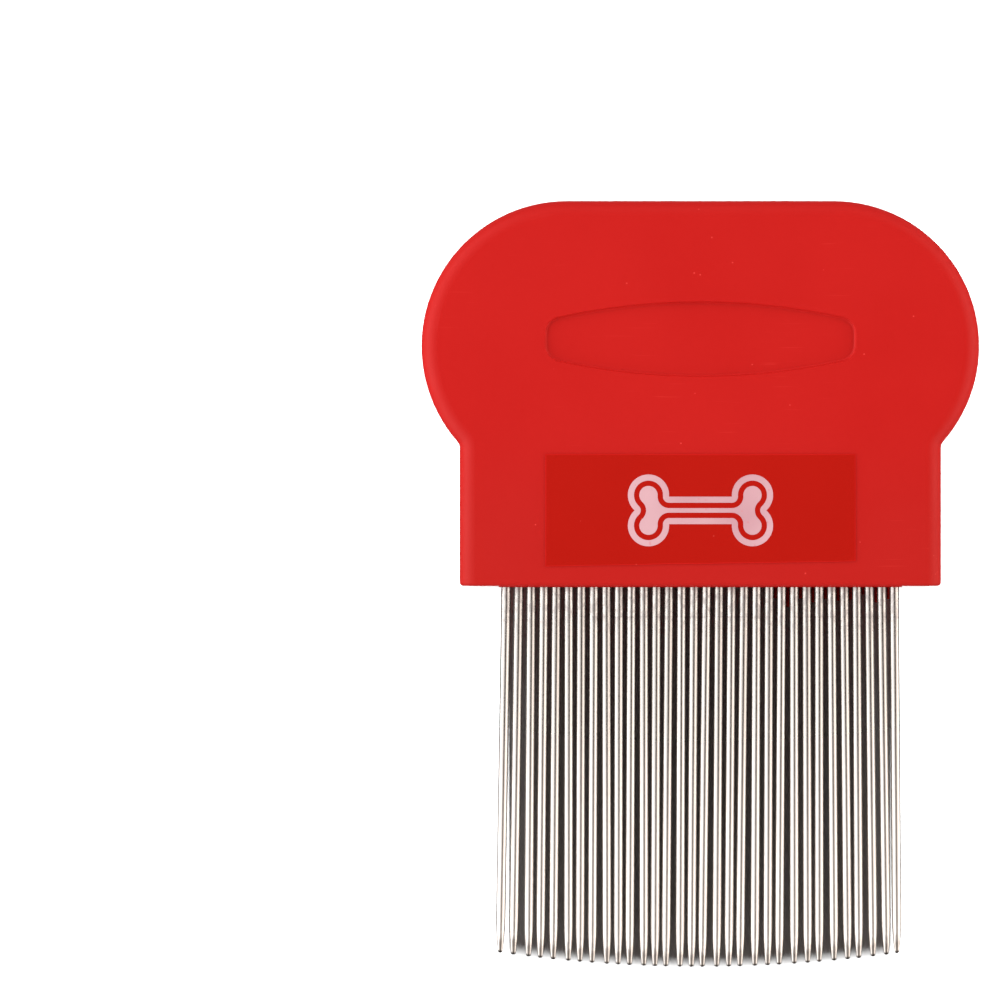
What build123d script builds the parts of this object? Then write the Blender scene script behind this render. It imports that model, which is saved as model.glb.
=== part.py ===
from build123d import *
import os
from math import cos, radians, sin, sqrt, tan

# Flea comb: a hollow red plastic handle made of two welded half shells, which clamp a moulded
# bar holding one row of fine steel pins. Millimetres. The comb lies on the rear face of its
# handle: +X across the pins, +Y from the pin tips to the top of the handle, +Z out of the
# front face. The origin is the middle of the whole comb's footprint, level with its rear face.

# ---- Pins
pin_count = 32
pin_diameter = 1.26
pin_gap = 0.38  # between neighbours, at the handle
pin_reach = 49.9  # past the handle, in the middle of the row
pin_grip = 7.5  # held in the bar
tip_taper = 4.8
tip_diameter = 0.62
tip_round = 0.18
tip_arc_radius = 188.0  # the row of tips is a shallow arc

# ---- Lean of the pins in degrees, positive towards +X, as they set in the mould
lean_middle = -0.20
lean_fan = 0.47  # the outer pins lean outwards
lean_wave = 0.35  # slow wander along the row
lean_wave_rate = 4.4
lean_wave_start = 0.76
lean_jitter = 0.18  # from one pin to the next
lean_jitter_rate = 2.05
lean_jitter_start = -2.66

# ---- Bar that the pins are moulded in
bar_end = 0.35  # plastic past the outer pins
bar_proud = 0.15  # stands out of the handle
bar_back = 1.5  # plastic behind the ends of the pins
bar_clearance = 0.1

# ---- Handle, outside
handle_height = 50.4  # top edge to the edge that the pins come out of
handle_thickness = 9.6
block_shoulder = 5.1  # straight lower part, past each end of the bar
lobe_overhang = 5.0  # round shoulders, past each side of the straight part
lobe_radius = 19.0
notch_radius = 1.2  # where a round shoulder meets the straight part
rim_radius = 2.0  # soft edge round the front and rear faces
lip_radius = 0.5  # crisp edge along the pins
joint_chamfer = 0.12  # the two halves meet in a fine groove

# ---- Handle, inside
shell_wall = 2.4  # round the outline
face_wall = 2.6  # behind the front and rear faces
rib_width = 1.6
rib_spacing = 14.0
rib_count = 3
rib_gap = 0.2  # between the ribs of the two halves
peg_diameter = 3.0
peg_length = 1.6  # past the joint plane
peg_clearance = 0.1
boss_diameter = 6.0
boss_spacing = 46.0
upper_boss_from_top = 16.0
lower_boss_from_bar = 5.5
tongue_width = 0.8
tongue_height = 0.6
tongue_clearance = 0.08

# ---- Thumb recess, the same in both faces
recess_length = 40.6
recess_width = 9.8
recess_end_width = 5.0  # where the two long arcs reach the round ends
recess_end_radius = 2.2
recess_depth = 0.45
recess_from_top = 18.1

# ---- Label
label_length = 40.6
label_width = 14.8
label_thickness = 0.1
label_from_edge = 2.5
bone_length = 19.0
bone_knob_radius = 2.7
bone_knob_spacing = 4.0
bone_shaft = 3.6
bone_line = 0.8  # width of the printed outline
bone_line_gap = 0.7  # between the outline and the solid bone inside it
print_thickness = 0.03

# ---- Sizes and places that follow from those above
pin_pitch = pin_diameter + pin_gap
neck_length = (pin_count - 1) * pin_pitch + pin_diameter + 2 * bar_end
block_width = neck_length + 2 * block_shoulder
flange_length = block_width - 2 * (shell_wall + bar_clearance)
lobe_spacing = block_width + 2 * lobe_overhang - 2 * lobe_radius
top_y = (handle_height + pin_reach) / 2
edge_y = top_y - handle_height
lobe_y = top_y - lobe_radius
notch_y = lobe_y - sqrt(lobe_radius**2 - ((block_width - lobe_spacing) / 2) ** 2)
flange_y = edge_y + shell_wall
bar_back_y = edge_y + pin_grip + bar_back
recess_y = top_y - recess_from_top
label_y = edge_y + label_from_edge + label_width / 2
split_z = handle_thickness / 2
pocket_depth = split_z - face_wall


# ---- Outlines that several pieces share

with BuildSketch() as outline:
    with Locations((0, lobe_y)):
        Rectangle(lobe_spacing, 2 * lobe_radius)
        with GridLocations(lobe_spacing, 0, 2, 1):
            Circle(lobe_radius)
    with Locations((0, edge_y)):
        Rectangle(block_width, lobe_y - edge_y, align=(Align.CENTER, Align.MIN))
    fillet(outline.vertices().filter_by(lambda v: abs(v.Y - notch_y) < 0.01), notch_radius)


def inset_outline(distance):
    """The outline of the handle, moved inwards."""
    with BuildSketch() as inset:
        add(outline.sketch)
        offset(amount=-distance, kind=Kind.INTERSECTION)
    return inset.sketch


def wall_ring(width):
    """A ring along the middle of the wall."""
    with BuildSketch() as ring:
        add(inset_outline((shell_wall - width) / 2))
        add(inset_outline((shell_wall + width) / 2), mode=Mode.SUBTRACT)
    return ring.sketch


with BuildSketch() as recess_outline:
    end_x = recess_length / 2
    end_y = recess_end_width / 2
    with BuildLine():
        ThreePointArc((-end_x, end_y), (0, recess_width / 2), (end_x, end_y))
        Line((end_x, end_y), (end_x, -end_y))
        ThreePointArc((end_x, -end_y), (0, -recess_width / 2), (-end_x, -end_y))
        Line((-end_x, -end_y), (-end_x, end_y))
    make_face()
    fillet(recess_outline.vertices(), recess_end_radius)


# ---- Pins: straight wire, each with a tapered and rounded tip


def pin_lean(number):
    """Lean of pin 0, 1, 2 ... in degrees."""
    across = 2 * number / (pin_count - 1) - 1
    wave = lean_wave * sin(lean_wave_rate * across + lean_wave_start)
    jitter = lean_jitter * sin(lean_jitter_rate * number + lean_jitter_start)
    return lean_middle + lean_fan * across - wave + jitter


def pin_solid(number):
    """One pin, turned about its own leaning axis, which crosses the handle's edge at its root."""
    root_x = (number - (pin_count - 1) / 2) * pin_pitch
    lean = radians(pin_lean(number))
    tip_x = root_x + pin_reach * tan(lean)
    arc_rise = tip_arc_radius - sqrt(tip_arc_radius**2 - tip_x**2)
    length = (pin_reach - arc_rise) / cos(lean)
    root = Plane(origin=(root_x, edge_y, split_z), x_dir=(-cos(lean), -sin(lean), 0), z_dir=(0, 0, 1))
    taper_start = (pin_diameter / 2, length - tip_taper)
    taper_end = (tip_diameter / 2, length - tip_round)
    taper_slope = (tip_diameter - pin_diameter) / tip_taper
    cap_radius = ((tip_diameter / 2) ** 2 + tip_round**2) / (2 * tip_round)
    with BuildPart() as pin:
        with BuildSketch(root):
            with BuildLine():
                Polyline((0, length), (0, -pin_grip), (pin_diameter / 2, -pin_grip), taper_start)
                Spline(taper_start, taper_end, tangents=((0, 1), (taper_slope, 1)))
                RadiusArc(taper_end, (0, length), -cap_radius)
            make_face()
        revolve(axis=Axis(root.origin, root.y_dir))
    return pin.part


pins = [pin_solid(number) for number in range(pin_count)]
for number, pin in enumerate(pins, start=1):
    pin.label = f"pin_{number:02d}"


# ---- Bar: its neck shows between the shells, its flange is caught behind their lower wall

with BuildPart() as pin_bar:
    with BuildSketch(Plane.XY.offset(split_z)):
        with Locations((0, edge_y - bar_proud)):
            Rectangle(neck_length, bar_proud + shell_wall, align=(Align.CENTER, Align.MIN))
        with Locations((0, flange_y)):
            Rectangle(flange_length, bar_back_y - flange_y, align=(Align.CENTER, Align.MIN))
    extrude(amount=pocket_depth, both=True)
    add(pins, mode=Mode.SUBTRACT)
pin_bar.part.label = "pin_bar"


# ---- Handle shells

boss_places = [
    (side * boss_spacing / 2, y)
    for side in (-1, 1)
    for y in (top_y - upper_boss_from_top, bar_back_y + lower_boss_from_bar)
]


def half_shell():
    """What both halves of the handle share, as the front half, from the joint plane up."""
    with BuildPart() as shell:
        with BuildSketch(Plane.XY.offset(split_z)):
            add(outline.sketch)
        extrude(amount=split_z)

        face = shell.faces().sort_by(Axis.Z)[-1]
        fillet(face.edges().filter_by(lambda edge: edge.center().Y > edge_y + lip_radius), rim_radius)
        lower_face = shell.faces().sort_by(Axis.Y)[0]
        lip = lower_face.edges().filter_by(lambda edge: edge.center().Z > split_z + lip_radius / 2)
        fillet(lip, lip_radius)
        chamfer(shell.faces().sort_by(Axis.Z)[0].edges(), joint_chamfer)

        with BuildSketch(Plane.XY.offset(handle_thickness)):
            with Locations((0, recess_y)):
                add(recess_outline.sketch)
        extrude(amount=-recess_depth, mode=Mode.SUBTRACT)
        recess_z = handle_thickness - recess_depth
        floor = shell.faces().filter_by(lambda part: abs(part.center().Z - recess_z) < 0.001)
        fillet(floor.edges(), 0.7 * recess_depth)
        face = shell.faces().sort_by(Axis.Z)[-1]
        fillet(face.inner_wires().edges(), 0.25 * recess_depth)

        with BuildSketch(Plane.XY.offset(split_z)):
            add(inset_outline(shell_wall))
        extrude(amount=pocket_depth, mode=Mode.SUBTRACT)
        with BuildSketch(Plane.XY.offset(split_z)):
            with Locations((0, edge_y)):
                slot_length = neck_length + 2 * bar_clearance
                Rectangle(slot_length, 3 * shell_wall, align=(Align.CENTER, Align.CENTER))
        extrude(amount=pocket_depth, mode=Mode.SUBTRACT)

        rib_low_y = bar_back_y + bar_clearance
        rib_high_y = top_y - shell_wall / 2
        with BuildSketch(Plane.XY.offset(split_z + rib_gap / 2)):
            with Locations((0, (rib_low_y + rib_high_y) / 2)):
                with GridLocations(rib_spacing, 0, rib_count, 1):
                    Rectangle(rib_width, rib_high_y - rib_low_y)
        extrude(amount=pocket_depth)
        with BuildSketch(Plane.XY.offset(split_z)):
            with Locations(boss_places):
                Circle(boss_diameter / 2)
        extrude(amount=pocket_depth + shell_wall / 4)
    return shell.part


with BuildPart() as front_shell:
    add(half_shell())
    with BuildSketch(Plane.XY.offset(split_z)):
        with Locations(boss_places):
            Circle(peg_diameter / 2)
    extrude(amount=-peg_length)
    with BuildSketch(Plane.XY.offset(split_z)):
        add(wall_ring(tongue_width))
        with Locations((0, edge_y)):
            tongue_break = neck_length + 2 * (bar_clearance + tongue_clearance)
            Rectangle(tongue_break, 3 * shell_wall, mode=Mode.SUBTRACT)
    extrude(amount=-tongue_height)
front_shell.part.label = "front_shell"

with BuildPart() as rear_shell:
    mirror(half_shell(), about=Plane.XY.offset(split_z))
    with BuildSketch(Plane.XY.offset(split_z)):
        with Locations(boss_places):
            Circle(peg_diameter / 2 + peg_clearance)
    extrude(amount=-(peg_length + peg_clearance), mode=Mode.SUBTRACT)
    with BuildSketch(Plane.XY.offset(split_z)):
        add(wall_ring(tongue_width + 2 * tongue_clearance))
    extrude(amount=-(tongue_height + tongue_clearance), mode=Mode.SUBTRACT)
rear_shell.part.label = "rear_shell"


# ---- Label: a thin film on the front face, printed with a plain bone


def bone_sketch():
    """A bone: two knobs at each end of a shaft."""
    with BuildSketch() as bone:
        with GridLocations(bone_length - 2 * bone_knob_radius, bone_knob_spacing, 2, 2):
            Circle(bone_knob_radius)
        Rectangle(bone_length - 2 * bone_knob_radius, bone_shaft)
    return bone.sketch


with BuildPart() as label_film:
    with BuildSketch(Plane.XY.offset(handle_thickness)):
        with Locations((0, label_y)):
            Rectangle(label_length, label_width)
    extrude(amount=label_thickness)
label_film.part.label = "label_film"

with BuildPart() as label_print:
    with BuildSketch(Plane.XY.offset(handle_thickness + label_thickness)):
        with Locations((0, label_y)):
            add(bone_sketch())
            with BuildSketch(mode=Mode.PRIVATE) as line_inside:
                add(bone_sketch())
                offset(amount=-bone_line)
            add(line_inside.sketch, mode=Mode.SUBTRACT)
            with BuildSketch(mode=Mode.PRIVATE) as middle:
                add(bone_sketch())
                offset(amount=-(bone_line + bone_line_gap))
            add(middle.sketch)
    extrude(amount=print_thickness)
label_print.part.label = "label_print"


# ---- Files, one for each piece

os.makedirs("parts", exist_ok=True)
export_step(front_shell.part, "parts/front_shell.step")
export_step(rear_shell.part, "parts/rear_shell.step")
export_step(pin_bar.part, "parts/pin_bar.step")
export_step(label_film.part, "parts/label_film.step")
export_step(label_print.part, "parts/label_print.step")
for pin in pins:
    export_step(pin, f"parts/{pin.label}.step")
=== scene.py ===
import math
import bpy
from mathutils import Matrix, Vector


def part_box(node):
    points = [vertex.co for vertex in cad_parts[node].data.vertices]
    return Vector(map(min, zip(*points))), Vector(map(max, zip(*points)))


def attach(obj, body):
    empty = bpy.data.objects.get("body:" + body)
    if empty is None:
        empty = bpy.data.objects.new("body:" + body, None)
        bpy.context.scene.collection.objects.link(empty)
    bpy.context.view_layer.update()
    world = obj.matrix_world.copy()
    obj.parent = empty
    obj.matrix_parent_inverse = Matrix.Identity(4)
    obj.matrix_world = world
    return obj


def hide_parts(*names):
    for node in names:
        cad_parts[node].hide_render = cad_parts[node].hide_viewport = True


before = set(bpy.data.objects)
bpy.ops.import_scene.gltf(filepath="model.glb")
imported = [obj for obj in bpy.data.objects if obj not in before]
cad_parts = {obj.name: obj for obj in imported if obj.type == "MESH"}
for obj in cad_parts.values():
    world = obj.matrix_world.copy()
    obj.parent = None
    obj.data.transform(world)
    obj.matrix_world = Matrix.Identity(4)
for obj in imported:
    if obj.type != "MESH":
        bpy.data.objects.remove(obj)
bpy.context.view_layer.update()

# ---- Handle: two half shells injection moulded in red ABS, in a mould with a fine satin texture,
# and welded together round their edge. The front one has the thumb recess and carries the label.
# The bar that holds the pins is moulded in the same red ABS and is clamped between them.

mm = 0.001
handle_low, handle_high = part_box("front_shell")
edge_y = handle_low.y  # the edge of the handle that the pins come out of


def put(tree, kind, inputs, **settings):
    """Adds a node to a tree. Each input is given a value or the output that feeds it."""
    made = tree.nodes.new(kind)
    for name, value in settings.items():
        setattr(made, name, value)
    for name, value in inputs.items():
        if isinstance(value, bpy.types.NodeSocket):
            tree.links.new(value, made.inputs[name])
        else:
            made.inputs[name].default_value = value
    return made


def calc(tree, operation, first, second=0.0, third=0.0):
    """One sum on up to three numbers, such as MULTIPLY or GREATER_THAN."""
    return put(tree, "ShaderNodeMath", {0: first, 1: second, 2: third}, operation=operation).outputs[0]


def noise(tree, place, scale, detail):
    """Soft random values between 0 and 1. The scale says how many go in a metre."""
    inputs = {"Vector": place, "Scale": scale, "Detail": detail}
    return put(tree, "ShaderNodeTexNoise", inputs).outputs[0]


def fade(tree, value, from_low, from_high, to_low=0.0, to_high=1.0, way="SMOOTHSTEP"):
    """A step from one number to another as a value rises between two limits."""
    limits = {"Value": value, 1: from_low, 2: from_high, 3: to_low, 4: to_high}
    return put(tree, "ShaderNodeMapRange", limits, interpolation_type=way).outputs[0]


def effect(name, inputs, outputs):
    """A node group for one surface effect, with named inputs and outputs."""
    tree = bpy.data.node_groups.new(name, "ShaderNodeTree")
    for label, kind in inputs.items():
        tree.interface.new_socket(label, in_out="INPUT", socket_type="NodeSocket" + kind)
    for label in outputs:
        tree.interface.new_socket(label, in_out="OUTPUT", socket_type="NodeSocketFloat")
    return tree, put(tree, "NodeGroupInput", {}).outputs, put(tree, "NodeGroupOutput", {}).inputs


# Satin grain: the fine pits that a spark-eroded mould leaves, over a slight orange peel
satin_grain, given, result = effect(
    "satin_grain", {"Place": "Vector", "Grain Scale": "Float", "Peel Scale": "Float"}, ("Height",)
)
tree = satin_grain
pits = noise(tree, given["Place"], given["Grain Scale"], 2.0)
peel = noise(tree, given["Place"], given["Peel Scale"], 1.0)
peel_share = 3.0  # how far the peel rises, against the pits
tree.links.new(calc(tree, "MULTIPLY_ADD", peel, peel_share, pits), result["Height"])

# Handling marks: short scratches that run one way, in patches, and scattered specks, whose size
# is a share of the spacing between them
handling_marks, given, result = effect(
    "handling_marks",
    {"Place": "Vector", "Stretched Place": "Vector", "Speck Scale": "Float", "Speck Size": "Float"},
    ("Scratches", "Specks", "Patches"),
)
tree = handling_marks
patch_scale = 70.0
patch_start, patch_full = 0.46, 0.70
scratch_start, scratch_full = 0.68, 0.80
clean_share = 0.60  # of the places for a speck, which stay empty
patches = noise(tree, given["Place"], patch_scale, 2.0)
scratched = fade(tree, patches, patch_start, patch_full)
lines = noise(tree, given["Stretched Place"], 1.0, 1.0)
lines = fade(tree, lines, scratch_start, scratch_full)
cell_inputs = {"Vector": given["Place"], "Scale": given["Speck Scale"]}
cells = put(tree, "ShaderNodeTexVoronoi", cell_inputs).outputs
cell_number = put(tree, "ShaderNodeSeparateColor", {0: cells["Color"]}).outputs[0]
chosen = calc(tree, "GREATER_THAN", cell_number, clean_share)
near = calc(tree, "LESS_THAN", cells["Distance"], given["Speck Size"])
tree.links.new(calc(tree, "MULTIPLY", lines, scratched), result["Scratches"])
tree.links.new(calc(tree, "MULTIPLY", chosen, near), result["Specks"])
tree.links.new(patches, result["Patches"])


def place_effect(tree, group, inputs):
    """Places an effect in a material with its own values, and gives its outputs."""
    return put(tree, "ShaderNodeGroup", inputs, node_tree=group).outputs


def new_material(name):
    """A material with its node tree, its Principled shader and its Object coordinates."""
    material = bpy.data.materials.new(name)
    material.use_nodes = True
    tree = material.node_tree
    place = put(tree, "ShaderNodeTexCoord", {}).outputs["Object"]
    return material, tree, tree.nodes["Principled BSDF"], place


def surface(tree, shader, colour, roughness, height, relief):
    """Feeds a shader its colour, its roughness, and a height that shows as relief of a given depth."""
    bump = put(tree, "ShaderNodeBump", {"Height": height, "Distance": relief, "Strength": 1.0})
    tree.links.new(colour, shader.inputs["Base Color"])
    tree.links.new(roughness, shader.inputs["Roughness"])
    tree.links.new(bump.outputs[0], shader.inputs["Normal"])


def tint(tree, amount, first, second):
    """A colour that goes from the first to the second with the amount."""
    return put(tree, "ShaderNodeMix", {0: amount, 6: first, 7: second}, data_type="RGBA").outputs[2]


def cover(tree, colour, mask, over, strength):
    """A colour with another one laid over it where a mask is up. At strength 1 it hides the first."""
    return tint(tree, calc(tree, "MULTIPLY", mask, strength), colour, over)


def stretch(tree, place, scale):
    """Object coordinates scaled along each axis, for marks that run one way."""
    return put(tree, "ShaderNodeMapping", {"Vector": place, "Scale": scale}).outputs[0]


def parts_of(tree, vector):
    """The X, Y and Z of a vector."""
    return put(tree, "ShaderNodeSeparateXYZ", {0: vector}).outputs


red_plastic, tree, shader, place = new_material("satin_red_plastic")
grain = place_effect(tree, satin_grain, {"Place": place, "Grain Scale": 5200.0, "Peel Scale": 700.0})
marks = place_effect(
    tree,
    handling_marks,
    {
        "Place": place,
        "Stretched Place": stretch(tree, place, (140, 5200, 5200)),
        "Speck Scale": 420.0,
        "Speck Size": 0.045,
    },
)
deep_red = (0.420, 0.0022, 0.0008, 1)
clear_red = (0.457, 0.0030, 0.0011, 1)
shaded_red = (0.400, 0.0046, 0.0022, 1)  # painted shade: darker towards the pins, where less light falls on the handle
scuffed_red = (0.80, 0.060, 0.050, 1)
# painted shade: the red is darkened from the middle of the handle down to the edge where the pins come
# out
shade_from, shade_to = edge_y + 3 * mm, edge_y + 26 * mm
pin_end_shade = fade(tree, parts_of(tree, place)[1], shade_from, shade_to, 1.0, 0.0)
colour = tint(tree, marks["Patches"], deep_red, clear_red)
colour = cover(tree, colour, pin_end_shade, shaded_red, strength=0.8)
colour = cover(tree, colour, marks["Scratches"], scuffed_red, strength=0.22)
colour = cover(tree, colour, marks["Specks"], scuffed_red, strength=0.55)
smoothest, roughest = 0.52, 0.60
scratch_roughness = -0.08  # a scratch is a little burnished
roughness = fade(tree, marks["Patches"], 0.3, 0.7, smoothest, roughest)
roughness = calc(tree, "MULTIPLY_ADD", marks["Scratches"], scratch_roughness, roughness)
speck_height = 1.5
height = calc(tree, "MULTIPLY_ADD", marks["Specks"], speck_height, grain["Height"])
surface(tree, shader, colour, roughness, height, relief=0.006 * mm)
shader.inputs["Specular IOR Level"].default_value = 0.19
for node in ("front_shell", "rear_shell", "pin_bar"):
    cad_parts[node].material_slots[0].material = red_plastic

# ---- Pins: straight steel wire, ground to a blunt taper and polished along its length. They are
# set in the mould before the bar is moulded, so they can't move.

pins = [node for name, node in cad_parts.items() if name[:4] == "pin_" and name != "pin_bar"]
middle_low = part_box("pin_16")[0]
outer_low, outer_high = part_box("pin_01")
arc_half = (outer_low.x + outer_high.x) / 2
arc_depth = outer_low.y - middle_low.y
arc_radius = (arc_half**2 + arc_depth**2) / (2 * arc_depth)  # of the arc that the tips stand on

pin_steel, tree, shader, place = new_material("polished_pin_steel")
marks = place_effect(
    tree,
    handling_marks,
    {
        "Place": stretch(tree, place, (2.2, 1.0, 2.2)),
        "Stretched Place": stretch(tree, place, (3200, 60, 3200)),
        "Speck Scale": 700.0,
        "Speck Size": 0.12,
    },
)
across, along = parts_of(tree, place)[:2]
each_pin = noise(tree, stretch(tree, place, (620, 6, 0)), 1.0, 0.0)
clouds = noise(tree, stretch(tree, place, (1500, 800, 1500)), 1.0, 3.0)

# smudges: finger marks and mould release, on the steel below the handle
smudge_end = 7.5 * mm
smudge_start, smudge_full = 0.42, 0.62
smudge = fade(tree, along, edge_y - smudge_end, edge_y - 0.5 * smudge_end)
smudge = calc(tree, "MULTIPLY", smudge, fade(tree, clouds, smudge_start, smudge_full))

# witness line: left by the clamp that held the row while the bar was moulded
line_y = edge_y - 4.05 * mm
line_half = 0.16 * mm
line_start, line_full = -16.5 * mm, -14.5 * mm
broken_start, broken_full = 0.38, 0.55
from_line = calc(tree, "ABSOLUTE", calc(tree, "SUBTRACT", along, line_y))
witness = fade(tree, from_line, 0.0, line_half, 1.0, 0.0)
witness = calc(tree, "MULTIPLY", witness, fade(tree, across, line_start, line_full))
witness = calc(tree, "MULTIPLY", witness, fade(tree, clouds, broken_start, broken_full))

# wear, and painted shade at the tips: rubbed by use, most towards the tips, which are ground flat and
# cut off; their flat faces and cut ends are painted dark as painted shade
across_squared = calc(tree, "MULTIPLY", across, across)
arc_y = calc(tree, "SQRT", calc(tree, "SUBTRACT", arc_radius**2, across_squared))
from_tip = calc(tree, "ADD", along, calc(tree, "SUBTRACT", arc_y, arc_radius + middle_low.y))
rubbed_most, rubbed_least = 4 * mm, 44 * mm
rubbed = fade(tree, from_tip, rubbed_most, rubbed_least, 1.0, 0.0)
raggedness = 2.4 * mm
ragged = calc(tree, "MULTIPLY_ADD", clouds, -raggedness, from_tip)
# painted shade: near the tips, the faces that look up or down are painted dark; the same mask makes
# the ground steel rougher
tip_shade_full, tip_shade_end = -0.2 * mm, 1.6 * mm
ground_tip_shade = fade(tree, ragged, tip_shade_full, tip_shade_end, 1.0, 0.0)
normal = put(tree, "ShaderNodeNewGeometry", {}).outputs["Normal"]
flat_start, flat_full = 0.70, 0.97
facing = calc(tree, "ABSOLUTE", parts_of(tree, normal)[2])
flat_side = fade(tree, facing, flat_start, flat_full)
ground_tip_shade = calc(tree, "MULTIPLY", ground_tip_shade, flat_side)
# painted shade: the last part of each tip is painted near black
cut_full, cut_reach = 0.10 * mm, 0.42 * mm
cut_end_shade = fade(tree, from_tip, cut_full, cut_reach, 1.0, 0.0)

bright_steel = (0.50, 0.47, 0.445, 1)
dull_steel = (0.42, 0.39, 0.365, 1)
rubbed_steel = (0.69, 0.65, 0.61, 1)
smudged_steel = (0.27, 0.245, 0.24, 1)
# painted shade colours for the tips
tip_shade_steel = (0.15, 0.125, 0.11, 1)
end_shade_steel = (0.045, 0.038, 0.035, 1)
bright_up_to, dull_from = 0.35, 0.65
colour = tint(tree, fade(tree, each_pin, bright_up_to, dull_from), bright_steel, dull_steel)
colour = cover(tree, colour, rubbed, rubbed_steel, strength=0.8)
colour = cover(tree, colour, smudge, smudged_steel, strength=0.6)
colour = cover(tree, colour, witness, smudged_steel, strength=0.7)
# the last two layers are painted shade at the tips
colour = cover(tree, colour, ground_tip_shade, tip_shade_steel, strength=0.85)
colour = tint(tree, cut_end_shade, colour, end_shade_steel)
roughness = 0.25  # where the polish is whole
for mask, added in ((smudge, 0.10), (rubbed, 0.08), (marks["Scratches"], 0.08), (ground_tip_shade, 0.1)):
    roughness = calc(tree, "MULTIPLY_ADD", mask, added, roughness)
surface(tree, shader, colour, roughness, marks["Scratches"], relief=0.0001 * mm)
shader.inputs["Metallic"].default_value = 1
for pin in pins:
    pin.material_slots[0].material = pin_steel

# ---- Moulding flash: thin uneven webs of red ABS that squeezed out between the pins, below the
# edge of the handle, where the mould had worn. They are part of the bar and are never trimmed.

bar_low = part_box("pin_bar")[0]
pitch = 1.64 * mm
first_gap = 6  # counted from the middle of the row


def growing(name, inputs):
    """A Geometry Nodes tree with named inputs, their sockets, and the outputs that carry them."""
    group = bpy.data.node_groups.new(name, "GeometryNodeTree")
    sockets = {}
    for label, (kind, value) in inputs.items():
        kind = "NodeSocket" + kind
        sockets[label] = group.interface.new_socket(label, in_out="INPUT", socket_type=kind)
    group.interface.new_socket("Geometry", in_out="OUTPUT", socket_type="NodeSocketGeometry")
    return group, sockets, put(group, "NodeGroupInput", {}).outputs


def vector_calc(group, operation, first, second):
    """One sum on vectors. SCALE takes a number second."""
    second_name = "Scale" if operation == "SCALE" else 1
    inputs = {0: first, second_name: second}
    return put(group, "ShaderNodeVectorMath", inputs, operation=operation).outputs[0]


def shift(group, geometry, offset):
    """Moves each point of a mesh by its own offset."""
    return put(group, "GeometryNodeSetPosition", {"Geometry": geometry, "Offset": offset}).outputs[0]


def finish_tree(group, geometry, material):
    """Makes real what is instanced, gives it its material and sends it out of the tree."""
    real = put(group, "GeometryNodeRealizeInstances", {0: geometry}).outputs[0]
    coated = put(group, "GeometryNodeSetMaterial", {"Geometry": real, "Material": material}).outputs[0]
    put(group, "NodeGroupOutput", {"Geometry": coated})


def grown(name, group, inputs, sockets):
    """A plain mesh object made by a Geometry Nodes tree from the values given to its inputs."""
    grown_object = bpy.data.objects.new(name, bpy.data.meshes.new(name))
    bpy.context.collection.objects.link(grown_object)
    modifier = grown_object.modifiers.new(name, "NODES")
    modifier.node_group = group
    for label, (kind, value) in inputs.items():
        modifier[sockets[label].identifier] = value
    ready = grown_object.evaluated_get(bpy.context.evaluated_depsgraph_get())
    mesh = bpy.data.meshes.new_from_object(ready)
    grown_object.modifiers.clear()
    grown_object.data = mesh
    return grown_object


flash_inputs = {
    "Webs": ("Int", 10),
    "Pitch": ("Float", pitch),
    "First Gap": ("Float", first_gap * pitch),
    "Root": ("Float", bar_low.y + 0.3 * mm),
    "Level": ("Float", bar_low.z + 1.1 * mm),
    "Shortest": ("Float", 0.4 * mm),
    "Longest": ("Float", 2.9 * mm),
    "Width": ("Float", 0.62 * mm),
    "Thickness": ("Float", 0.372 * mm),
    "Ripple": ("Float", 0.22 * mm),
    "Seed": ("Int", 5),
    "Plastic": ("Material", red_plastic),
}
group, sockets, given = growing("flash_webs", flash_inputs)

# one web: a round line that thins to its free end, 1 m long and wide until it is scaled
line = put(group, "GeometryNodeCurvePrimitiveLine", {"Start": (0, 0, 0), "End": (0, -1, 0)}).outputs[0]
line = put(group, "GeometryNodeResampleCurve", {"Curve": line, "Count": 14}).outputs[0]
part_way = put(group, "GeometryNodeSplineParameter", {}).outputs["Factor"]
bluntness = 0.75
thinning = calc(group, "POWER", calc(group, "SUBTRACT", 1.0, part_way), bluntness)
line = put(group, "GeometryNodeSetCurveRadius", {"Curve": line, "Radius": thinning}).outputs[0]
ring = put(group, "GeometryNodeCurvePrimitiveCircle", {"Resolution": 12, "Radius": 0.5}).outputs[0]
web_inputs = {"Curve": line, "Profile Curve": ring, "Fill Caps": True}
web = put(group, "GeometryNodeCurveToMesh", web_inputs).outputs[0]

# one in each gap, with a random length
gap = put(group, "GeometryNodeInputIndex", {}).outputs[0]
gap_x = calc(group, "MULTIPLY_ADD", gap, given["Pitch"], given["First Gap"])
gap_inputs = {0: gap_x, 1: given["Root"], 2: given["Level"]}
gap_place = put(group, "ShaderNodeCombineXYZ", gap_inputs).outputs[0]
gaps = put(group, "GeometryNodePoints", {"Count": given["Webs"], "Position": gap_place}).outputs[0]
length_inputs = {2: given["Shortest"], 3: given["Longest"], "ID": gap, "Seed": given["Seed"]}
web_length = put(group, "FunctionNodeRandomValue", length_inputs).outputs[1]
size_inputs = {0: given["Width"], 1: web_length, 2: given["Thickness"]}
web_size = put(group, "ShaderNodeCombineXYZ", size_inputs).outputs[0]
row_inputs = {"Points": gaps, "Instance": web, "Scale": web_size}
webs = put(group, "GeometryNodeInstanceOnPoints", row_inputs).outputs[0]
webs = put(group, "GeometryNodeRealizeInstances", {0: webs}).outputs[0]

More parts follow.
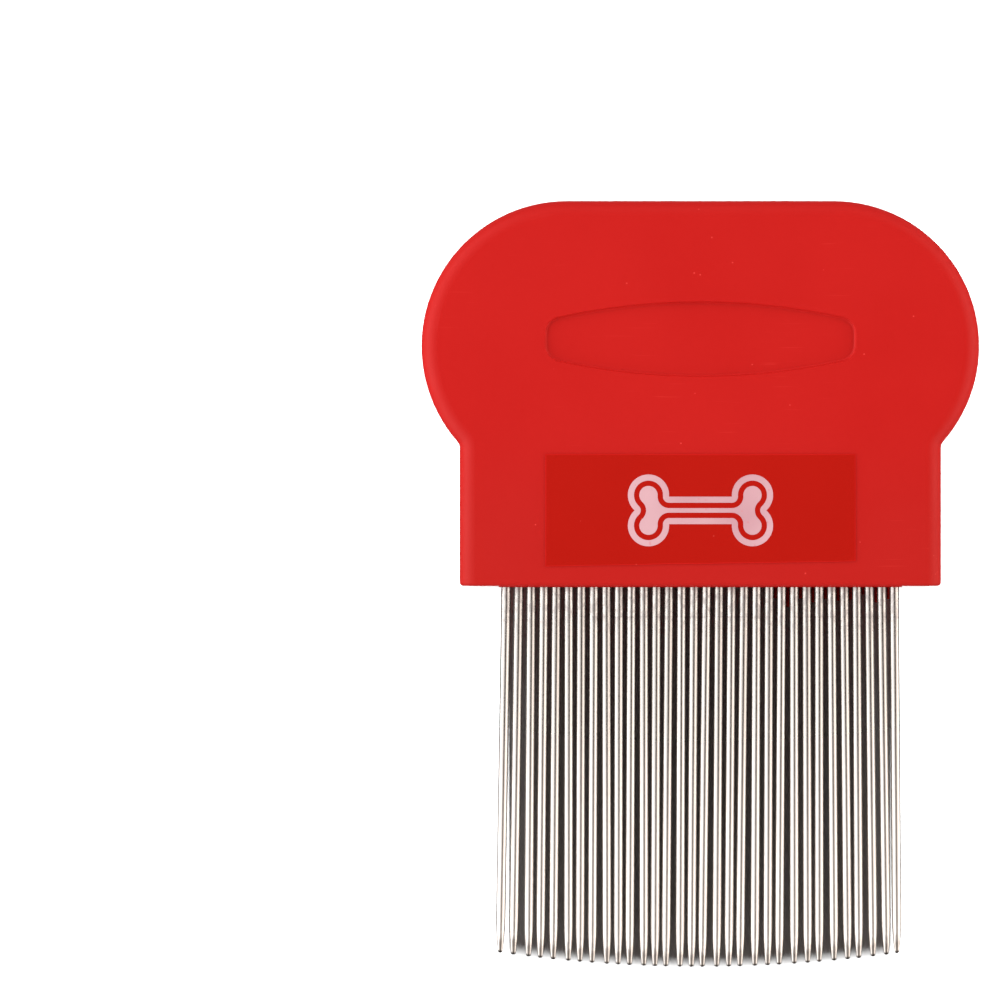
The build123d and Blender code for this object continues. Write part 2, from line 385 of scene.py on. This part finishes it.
# their uneven faces, and their pointed ends closed
uneven = put(group, "ShaderNodeTexNoise", {"Scale": 1800.0, "Detail": 1.0}).outputs["Color"]
uneven = vector_calc(group, "SUBTRACT", uneven, (0.5, 0.5, 0.5))
webs = shift(group, webs, vector_calc(group, "SCALE", uneven, given["Ripple"]))
closing = {"Geometry": webs, "Distance": 0.001 * mm}
webs = put(group, "GeometryNodeMergeByDistance", closing).outputs[0]
finish_tree(group, webs, given["Plastic"])
flash_webs = grown("flash_webs", group, flash_inputs, sockets)
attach(flash_webs, "root")

# ---- Label: a satin film printed deep red with a clear margin, stuck to the front shell, with a
# few small air bubbles trapped along its edges. The plain bone on it is pale pink ink.

label_low, label_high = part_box("label_film")

label_red, tree, shader, place = new_material("satin_label_film")
grain = place_effect(tree, satin_grain, {"Place": place, "Grain Scale": 2600.0, "Peel Scale": 260.0})
marks = place_effect(
    tree,
    handling_marks,
    {
        "Place": place,
        "Stretched Place": stretch(tree, place, (160, 4600, 4600)),
        "Speck Scale": 520.0,
        "Speck Size": 0.05,
    },
)
inwards = put(tree, "ShaderNodeAttribute", {}, attribute_name="from_edge").outputs["Fac"]
widest_margin = 0.24 * mm
print_start, print_full = -0.02 * mm, 0.05 * mm
margin = calc(tree, "MULTIPLY", marks["Patches"], widest_margin)
printed = fade(tree, calc(tree, "SUBTRACT", inwards, margin), print_start, print_full)
margin_red = (0.45, 0.008, 0.006, 1)
print_red = (0.347, 0.0052, 0.0018, 1)
print_red_light = (0.386, 0.0064, 0.0026, 1)
worn_red = (0.75, 0.10, 0.08, 1)
colour = tint(tree, marks["Patches"], print_red, print_red_light)
colour = tint(tree, printed, margin_red, colour)
colour = cover(tree, colour, marks["Specks"], worn_red, strength=0.3)
film_roughness, scratch_roughness = 0.46, 0.1
roughness = calc(tree, "MULTIPLY_ADD", marks["Scratches"], scratch_roughness, film_roughness)
surface(tree, shader, colour, roughness, grain["Height"], relief=0.0025 * mm)
shader.inputs["Specular IOR Level"].default_value = 0.06

film_inputs = {
    "Size": ("Vector", label_high - label_low),
    "Middle": ("Vector", (label_low + label_high) / 2),
    "Slant": ("Float", 0.65 * mm),
    "Unevenness": ("Float", 0.25),
    "Bubble Height": ("Float", 0.018 * mm),
    "Bubble Scale": ("Float", 1500.0),
    "Bubble Border": ("Float", 0.75 * mm),
    "Film": ("Material", label_red),
}
group, sockets, given = growing("film_sheet", film_inputs)
mesh_inputs = {"Size": given["Size"], "Vertices X": 320, "Vertices Y": 112, "Vertices Z": 2}
sheet = put(group, "GeometryNodeMeshCube", mesh_inputs).outputs[0]
move_inputs = {"Geometry": sheet, "Translation": given["Middle"]}
sheet = put(group, "GeometryNodeTransform", move_inputs).outputs[0]
where = put(group, "GeometryNodeInputPosition", {}).outputs[0]
offset = parts_of(group, vector_calc(group, "SUBTRACT", where, given["Middle"]))
size = parts_of(group, given["Size"])
margins = []
for axis in (0, 1):
    half_size = calc(group, "MULTIPLY", size[axis], 0.5)
    margins.append(calc(group, "SUBTRACT", half_size, calc(group, "ABSOLUTE", offset[axis])))
inwards = calc(group, "MINIMUM", margins[0], margins[1])

# air bubbles lift the top of the film near its edges, but not at the very edge
stuck_down, free, dying_out = 0.05, 0.3, 0.25  # places across the border, 1 at its inner side
bubble_start, bubble_full = 0.50, 0.72
border = calc(group, "DIVIDE", inwards, given["Bubble Border"])
near_edge = fade(group, border, dying_out, 1.0, 1.0, 0.0, way="LINEAR")
off_edge = fade(group, border, stuck_down, free, way="LINEAR")
bubbles = put(group, "ShaderNodeTexNoise", {"Scale": given["Bubble Scale"], "Detail": 0.0}).outputs[0]
bubbles = fade(group, bubbles, bubble_start, bubble_full, way="LINEAR")
raised = calc(group, "MULTIPLY", calc(group, "MULTIPLY", bubbles, near_edge), off_edge)
raised = calc(group, "MULTIPLY", raised, given["Bubble Height"])
raised = calc(group, "MULTIPLY", raised, calc(group, "GREATER_THAN", offset[2], 0.0))
sheet = shift(group, sheet, put(group, "ShaderNodeCombineXYZ", {2: raised}).outputs[0])
edge_inputs = {"Geometry": sheet, "Name": "from_edge", "Value": inwards}
marked = put(group, "GeometryNodeStoreNamedAttribute", edge_inputs, data_type="FLOAT", domain="POINT")
sheet = marked.outputs[0]

# the bottom edge is cut a little aslant and uneven
rightwards = calc(group, "ADD", calc(group, "DIVIDE", offset[0], size[0]), 0.5)
downwards = calc(group, "SUBTRACT", 0.5, calc(group, "DIVIDE", offset[1], size[1]))
uneven = put(group, "ShaderNodeTexNoise", {"Scale": 160.0, "Detail": 1.0}).outputs[0]
cut = calc(group, "MULTIPLY_ADD", uneven, given["Unevenness"], rightwards)
cut = calc(group, "MULTIPLY", calc(group, "MULTIPLY", cut, given["Slant"]), downwards)
sheet = shift(group, sheet, put(group, "ShaderNodeCombineXYZ", {1: cut}).outputs[0])
finish_tree(group, sheet, given["Film"])
film_sheet = grown("film_sheet", group, film_inputs, sockets)
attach(film_sheet, "root")
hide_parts("label_film")

label_ink, tree, shader, place = new_material("pale_pink_ink")
grain = place_effect(tree, satin_grain, {"Place": place, "Grain Scale": 6200.0, "Peel Scale": 900.0})
marks = place_effect(
    tree,
    handling_marks,
    {
        "Place": place,
        "Stretched Place": stretch(tree, place, (300, 5200, 5200)),
        "Speck Scale": 1100.0,
        "Speck Size": 0.16,
    },
)
full_ink = (0.578, 0.348, 0.382, 1)
thin_ink = (0.485, 0.262, 0.295, 1)
worn_ink = (0.56, 0.19, 0.22, 1)
colour = tint(tree, fade(tree, marks["Patches"], 0.35, 0.75), full_ink, thin_ink)
colour = cover(tree, colour, marks["Specks"], worn_ink, strength=0.5)
colour = cover(tree, colour, marks["Scratches"], worn_ink, strength=0.4)
smoothest, roughest = 0.40, 0.50
roughness = fade(tree, marks["Patches"], 0.3, 0.7, smoothest, roughest)
surface(tree, shader, colour, roughness, grain["Height"], relief=0.003 * mm)
shader.inputs["Specular IOR Level"].default_value = 0.06
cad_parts["label_print"].material_slots[0].material = label_ink

# ---- Studio: a white table, long soft panels high and low along both sides of the comb, weaker
# ones beyond it and in front of it, and a flag that keeps the ground under the pins dark. The
# camera looks straight down through a dark slot between the upper panels.

table_half = 3.0
table_z = -0.2 * mm
table_corners = []
for x, y in ((-1, -1), (1, -1), (1, 1), (-1, 1)):
    table_corners.append((x * table_half, y * table_half, table_z))
table_mesh = bpy.data.meshes.new("table")
table_mesh.from_pydata(table_corners, [], [(0, 1, 2, 3)])
table = bpy.data.objects.new("table", table_mesh)
bpy.context.collection.objects.link(table)
table_white, tree, shader = new_material("white_table")[:3]
tree.nodes.remove(shader)
seen = put(tree, "ShaderNodeLightPath", {}).outputs["Is Camera Ray"]
bounced_white = (0.07, 0.07, 0.07, 1)  # darker to the comb, so that the pins keep their contrast
plain_white = (0.5, 0.5, 0.5, 1)
matt = put(tree, "ShaderNodeBsdfDiffuse", {"Color": tint(tree, seen, bounced_white, plain_white)})
tree.links.new(matt.outputs[0], tree.nodes["Material Output"].inputs["Surface"])
table_mesh.materials.append(table_white)

# the flag lies close over the table, is never seen itself, and only casts shadow
last_low, last_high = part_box("pin_32")
root_half = last_low.x + 1.1 * mm
root_z, tips_z = 0.5 * mm, 1.2 * mm
past_tips = 0.6 * mm
flag_edge = [(root_half, edge_y, root_z), (-root_half, edge_y, root_z)]
flag_steps = 24
for step in range(flag_steps + 1):
    x = last_high.x * (2 * step / flag_steps - 1)
    arc_drop = arc_radius - math.sqrt(arc_radius**2 - x**2)
    flag_edge.append((x, middle_low.y + arc_drop - past_tips, tips_z))
flag_mesh = bpy.data.meshes.new("flag")
flag_mesh.from_pydata(flag_edge, [], [range(len(flag_edge))])
flag = bpy.data.objects.new("flag", flag_mesh)
bpy.context.collection.objects.link(flag)
flag.visible_camera = False
flag.visible_diffuse = False
flag.visible_glossy = False
flag.visible_transmission = False

# the comb's panels are kept off the table, which has low ones of its own, so that it is an even
# white all round the comb and dark between the pins
comb_alone = bpy.data.collections.new("comb_alone")
comb_alone.objects.link(table)
comb_alone.collection_objects[0].light_linking.link_state = "EXCLUDE"
table_alone = bpy.data.collections.new("table_alone")
table_alone.objects.link(table)
panel_distance = 0.6
panel_length = 1.2


def soft_panel(name, turn, low_tilt, high_tilt, radiance, colour, receivers):
    """A long panel light square to the comb. Turn is its bearing from +X in degrees, and it
    reaches from one angle to another down from overhead."""
    tilt = math.radians((low_tilt + high_tilt) / 2)
    width = 2 * panel_distance * math.tan(math.radians(high_tilt - low_tilt) / 2)
    turn = math.radians(turn)
    light = bpy.data.lights.new(name, "AREA")
    light.shape = "RECTANGLE"
    light.size = width
    light.size_y = panel_length
    light.energy = radiance * math.pi * width * panel_length
    light.color = colour
    panel = bpy.data.objects.new(name, light)
    bpy.context.collection.objects.link(panel)
    out = (math.cos(turn) * math.sin(tilt), math.sin(turn) * math.sin(tilt), math.cos(tilt))
    panel.location = [panel_distance * part for part in out]
    panel.rotation_euler = (0, tilt, turn)
    panel.visible_camera = False
    panel.light_linking.receiver_collection = receivers


white = (1, 1, 1)
warm_white = (1, 0.93, 0.87)
# name, bearing, from and to which angle down from overhead, brightness, colour and what it lights
soft_panel("upper_left_panel", 180, 8, 42, 1.6, white, comb_alone)
soft_panel("left_panel", 180, 42, 88, 3.1, white, comb_alone)
soft_panel("upper_right_panel", 0, 30, 52, 1.8, warm_white, comb_alone)
soft_panel("right_panel", 0, 52, 92, 2.6, warm_white, comb_alone)
soft_panel("low_left_panel", 180, 74, 92, 1.7, white, comb_alone)
soft_panel("low_right_panel", 0, 74, 92, 1.7, warm_white, comb_alone)
soft_panel("far_panel", 90, 46, 80, 1.3, white, comb_alone)
soft_panel("near_panel", -90, 66, 88, 1.1, white, comb_alone)
soft_panel("left_table_panel", 180, 40, 50, 70.0, white, table_alone)
soft_panel("right_table_panel", 0, 40, 50, 70.0, white, table_alone)

world = bpy.data.worlds.new("studio")
bpy.context.scene.world = world
world.use_nodes = True
tree = world.node_tree
seen = put(tree, "ShaderNodeLightPath", {}).outputs["Is Camera Ray"]
warm_room = (0.082, 0.058, 0.052, 1)
backdrop = (1, 1, 1, 1)
tree.links.new(tint(tree, seen, warm_room, backdrop), tree.nodes["Background"].inputs["Color"])

camera_height = 3.0
view_width = 0.1308
view_middle_x, view_middle_y = -0.02622, 0.01101
camera_data = bpy.data.cameras.new("camera")
camera_data.sensor_width = 36
camera_data.lens = camera_data.sensor_width * (camera_height - handle_high.z) / view_width
camera_data.clip_end = 20
camera = bpy.data.objects.new("camera", camera_data)
bpy.context.collection.objects.link(camera)
camera.location = (view_middle_x, view_middle_y, camera_height)
bpy.context.scene.camera = camera
bpy.context.scene.view_settings.view_transform = "Standard"
